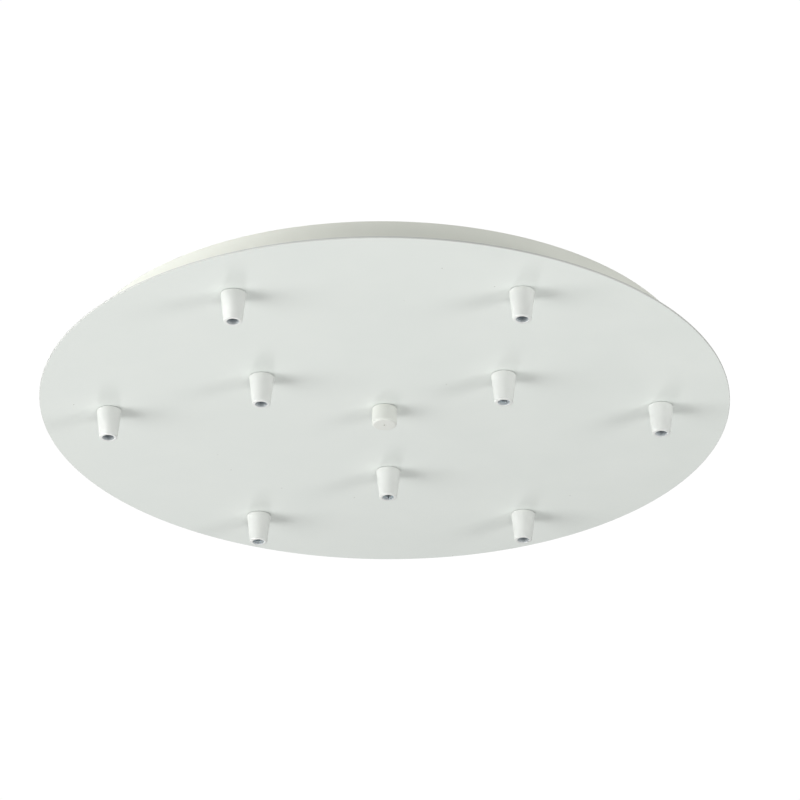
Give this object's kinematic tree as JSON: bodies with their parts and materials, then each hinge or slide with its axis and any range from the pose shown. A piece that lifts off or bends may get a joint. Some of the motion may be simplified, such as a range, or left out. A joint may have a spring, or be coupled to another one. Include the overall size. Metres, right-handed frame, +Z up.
{
  "type": "light fixture ceiling canopy",
  "caption": "Flat round ceiling canopy for hanging pendants: steel disc on a drum, tapered cord grips, centre cap nut and a slotted ceiling bracket inside.",
  "frame": {"origin": "centre of the two ceiling slots, in the plane of the ceiling, on the axis of the disc", "axes": "+Z up into the ceiling, +X along the ceiling bracket and towards cord grip 1, +Y away from the picture's viewer"},
  "size_m": [0.4999, 0.5, 0.0495],
  "materials": {
    "plate_coat": "satin white powder coat",
    "drum_coat": "satin white powder coat",
    "cap_nut_coat": "satin white powder coat",
    "grip_plastic": "satin white moulding",
    "nylon": "natural grey nylon",
    "zinc": "zinc plated",
    "brass": "plain",
    "block_plastic": "natural white moulding"
  },
  "bodies": {
    "ceiling_mount": {"ceiling_bracket": "zinc", "centre_rod": "zinc", "rod_nut_upper": "zinc", "rod_nut_lower": "zinc", "terminal_housing": "block_plastic", "terminal_sleeves": "brass", "terminal_screws": "zinc", "terminal_fixing_screws": "zinc", "bracket_earth_screw": "zinc", "bracket_earth_washer": "zinc"},
    "canopy": {"face_plate": "plate_coat", "drum": "drum_coat", "grip_washers": "zinc", "grip_nuts": "zinc", "grip_nipples": "zinc", "plate_earth_stud": "zinc", "plate_earth_washer": "brass", "plate_earth_nut": "brass", "cord_grip_insert_1": "nylon", "cord_grip_insert_2": "nylon", "cord_grip_insert_3": "nylon", "cord_grip_insert_4": "nylon", "cord_grip_insert_5": "nylon", "cord_grip_insert_6": "nylon", "cord_grip_insert_7": "nylon", "cord_grip_insert_8": "nylon", "cord_grip_insert_9": "nylon"},
    "cap_nut": {"centre_cap_nut": "cap_nut_coat"},
    "grip_cap_1": {"cord_grip_cap_1": "grip_plastic"},
    "grip_cap_2": {"cord_grip_cap_2": "grip_plastic"},
    "grip_cap_3": {"cord_grip_cap_3": "grip_plastic"},
    "grip_cap_4": {"cord_grip_cap_4": "grip_plastic"},
    "grip_cap_5": {"cord_grip_cap_5": "grip_plastic"},
    "grip_cap_6": {"cord_grip_cap_6": "grip_plastic"},
    "grip_cap_7": {"cord_grip_cap_7": "grip_plastic"},
    "grip_cap_8": {"cord_grip_cap_8": "grip_plastic"},
    "grip_cap_9": {"cord_grip_cap_9": "grip_plastic"}
  },
  "joints": [
    {"name": "canopy_drop", "type": "slide", "parent": "ceiling_mount", "child": "canopy", "axis": [0, 0, -1], "range_m": [0, 0.009]},
    {"name": "cap_nut_turn", "type": "hinge", "parent": "canopy", "child": "cap_nut", "pos_m": [0, 0, -0.0275], "axis": [0, 0, -1], "range_deg": [0, 3240]},
    {"name": "grip_cap_turn_1", "type": "hinge", "parent": "canopy", "child": "grip_cap_1", "pos_m": [0.2, 0, -0.0275], "axis": [0, 0, -1], "range_deg": [0, 540]},
    {"name": "grip_cap_turn_2", "type": "hinge", "parent": "canopy", "child": "grip_cap_2", "pos_m": [0.1, 0.17321, -0.0275], "axis": [0, 0, -1], "range_deg": [0, 540]},
    {"name": "grip_cap_turn_3", "type": "hinge", "parent": "canopy", "child": "grip_cap_3", "pos_m": [-0.1, 0.17321, -0.0275], "axis": [0, 0, -1], "range_deg": [0, 540]},
    {"name": "grip_cap_turn_4", "type": "hinge", "parent": "canopy", "child": "grip_cap_4", "pos_m": [-0.2, 0, -0.0275], "axis": [0, 0, -1], "range_deg": [0, 540]},
    {"name": "grip_cap_turn_5", "type": "hinge", "parent": "canopy", "child": "grip_cap_5", "pos_m": [-0.1, -0.17321, -0.0275], "axis": [0, 0, -1], "range_deg": [0, 540]},
    {"name": "grip_cap_turn_6", "type": "hinge", "parent": "canopy", "child": "grip_cap_6", "pos_m": [0.1, -0.17321, -0.0275], "axis": [0, 0, -1], "range_deg": [0, 540]},
    {"name": "grip_cap_turn_7", "type": "hinge", "parent": "canopy", "child": "grip_cap_7", "pos_m": [0, 0.1, -0.0275], "axis": [0, 0, -1], "range_deg": [0, 540]},
    {"name": "grip_cap_turn_8", "type": "hinge", "parent": "canopy", "child": "grip_cap_8", "pos_m": [-0.0866, -0.05, -0.0275], "axis": [0, 0, -1], "range_deg": [0, 540]},
    {"name": "grip_cap_turn_9", "type": "hinge", "parent": "canopy", "child": "grip_cap_9", "pos_m": [0.0866, -0.05, -0.0275], "axis": [0, 0, -1], "range_deg": [0, 540]}
  ],
  "couplings": [
    {"joint": "cap_nut_turn", "follows": "canopy_drop", "rad_per_m": 6283.2}
  ]
}
